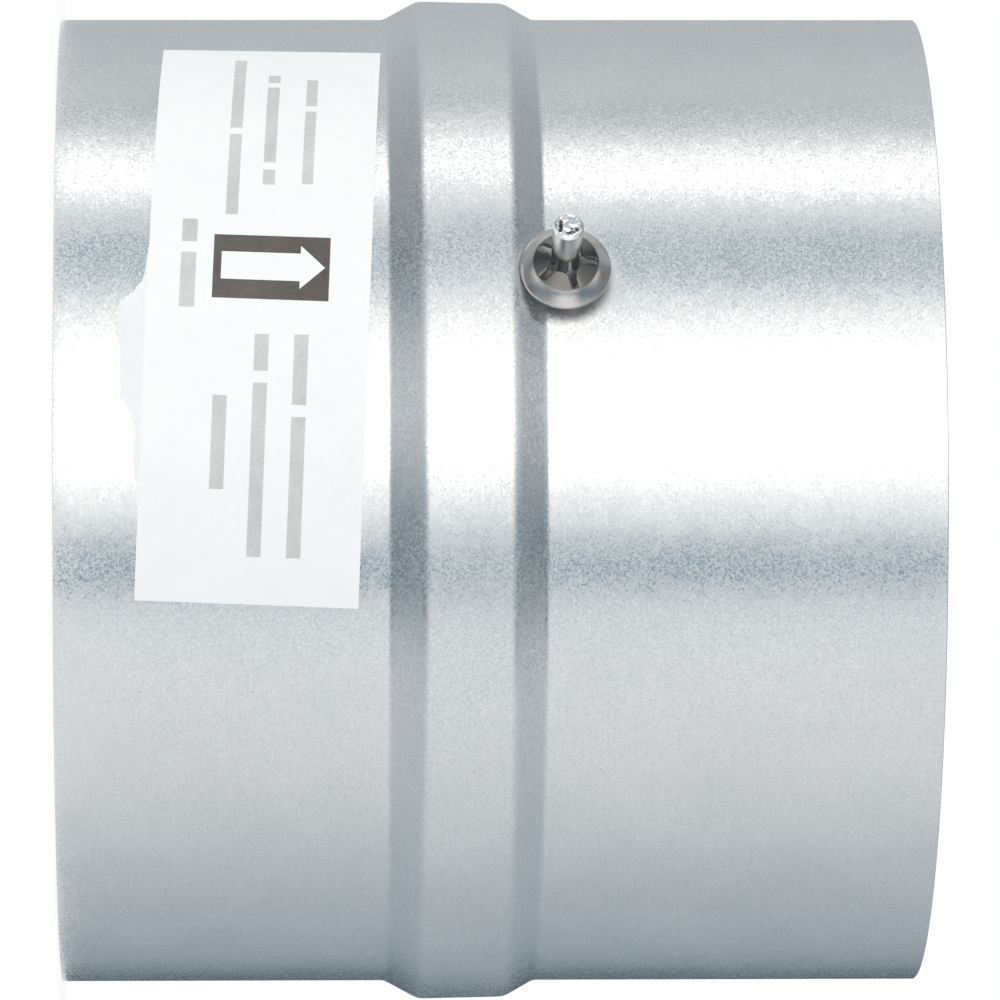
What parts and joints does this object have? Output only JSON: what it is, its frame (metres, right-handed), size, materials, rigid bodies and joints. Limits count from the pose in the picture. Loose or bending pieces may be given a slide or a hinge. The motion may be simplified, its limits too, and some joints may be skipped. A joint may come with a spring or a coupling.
{
  "type": "duct backdraft damper",
  "caption": "Short galvanised tube with a raised bead and spring-closed half-round flaps on a cross axle, which let duct air through one way only.",
  "frame": {"origin": "centre of the inlet rim, on the surface that the damper stands on", "axes": "+Z along the tube and the flow, from inlet to outlet; Y along the axle, with the label and the seen axle end on -Y"},
  "size_m": [0.1032, 0.1204, 0.088],
  "materials": {
    "galvanised_steel": "dull zinc with a fine spangle",
    "bright_steel": "bright drawn rod",
    "spring_steel": "pressed spring sheet",
    "aluminium_sheet": "mill finish sheet",
    "spring_wire": "drawn spring wire",
    "label_paper": "matt white label",
    "torn_paper": "torn paper backing"
  },
  "bodies": {
    "casing_body": {"casing": "galvanised_steel", "axle": "bright_steel", "retaining_washer_front": "spring_steel", "retaining_washer_rear": "spring_steel", "return_spring": "spring_wire", "flow_label": "label_paper", "label_remnant": "torn_paper"},
    "blade_left_body": {"blade_left": "aluminium_sheet"},
    "blade_right_body": {"blade_right": "aluminium_sheet"}
  },
  "joints": [
    {"name": "blade_left_swing", "type": "hinge", "parent": "casing_body", "child": "blade_left_body", "pos_m": [0, 0, 0.0505], "axis": [0, 1, 0], "range_deg": [0, 67], "stiffness_Nm_per_rad": 0.0018, "springref_deg": -34.38, "deforming": ["return_spring"]},
    {"name": "blade_right_swing", "type": "hinge", "parent": "casing_body", "child": "blade_right_body", "pos_m": [0, 0, 0.0505], "axis": [0, -1, 0], "range_deg": [0, 67], "stiffness_Nm_per_rad": 0.0018, "springref_deg": -34.38, "deforming": ["return_spring"]}
  ]
}
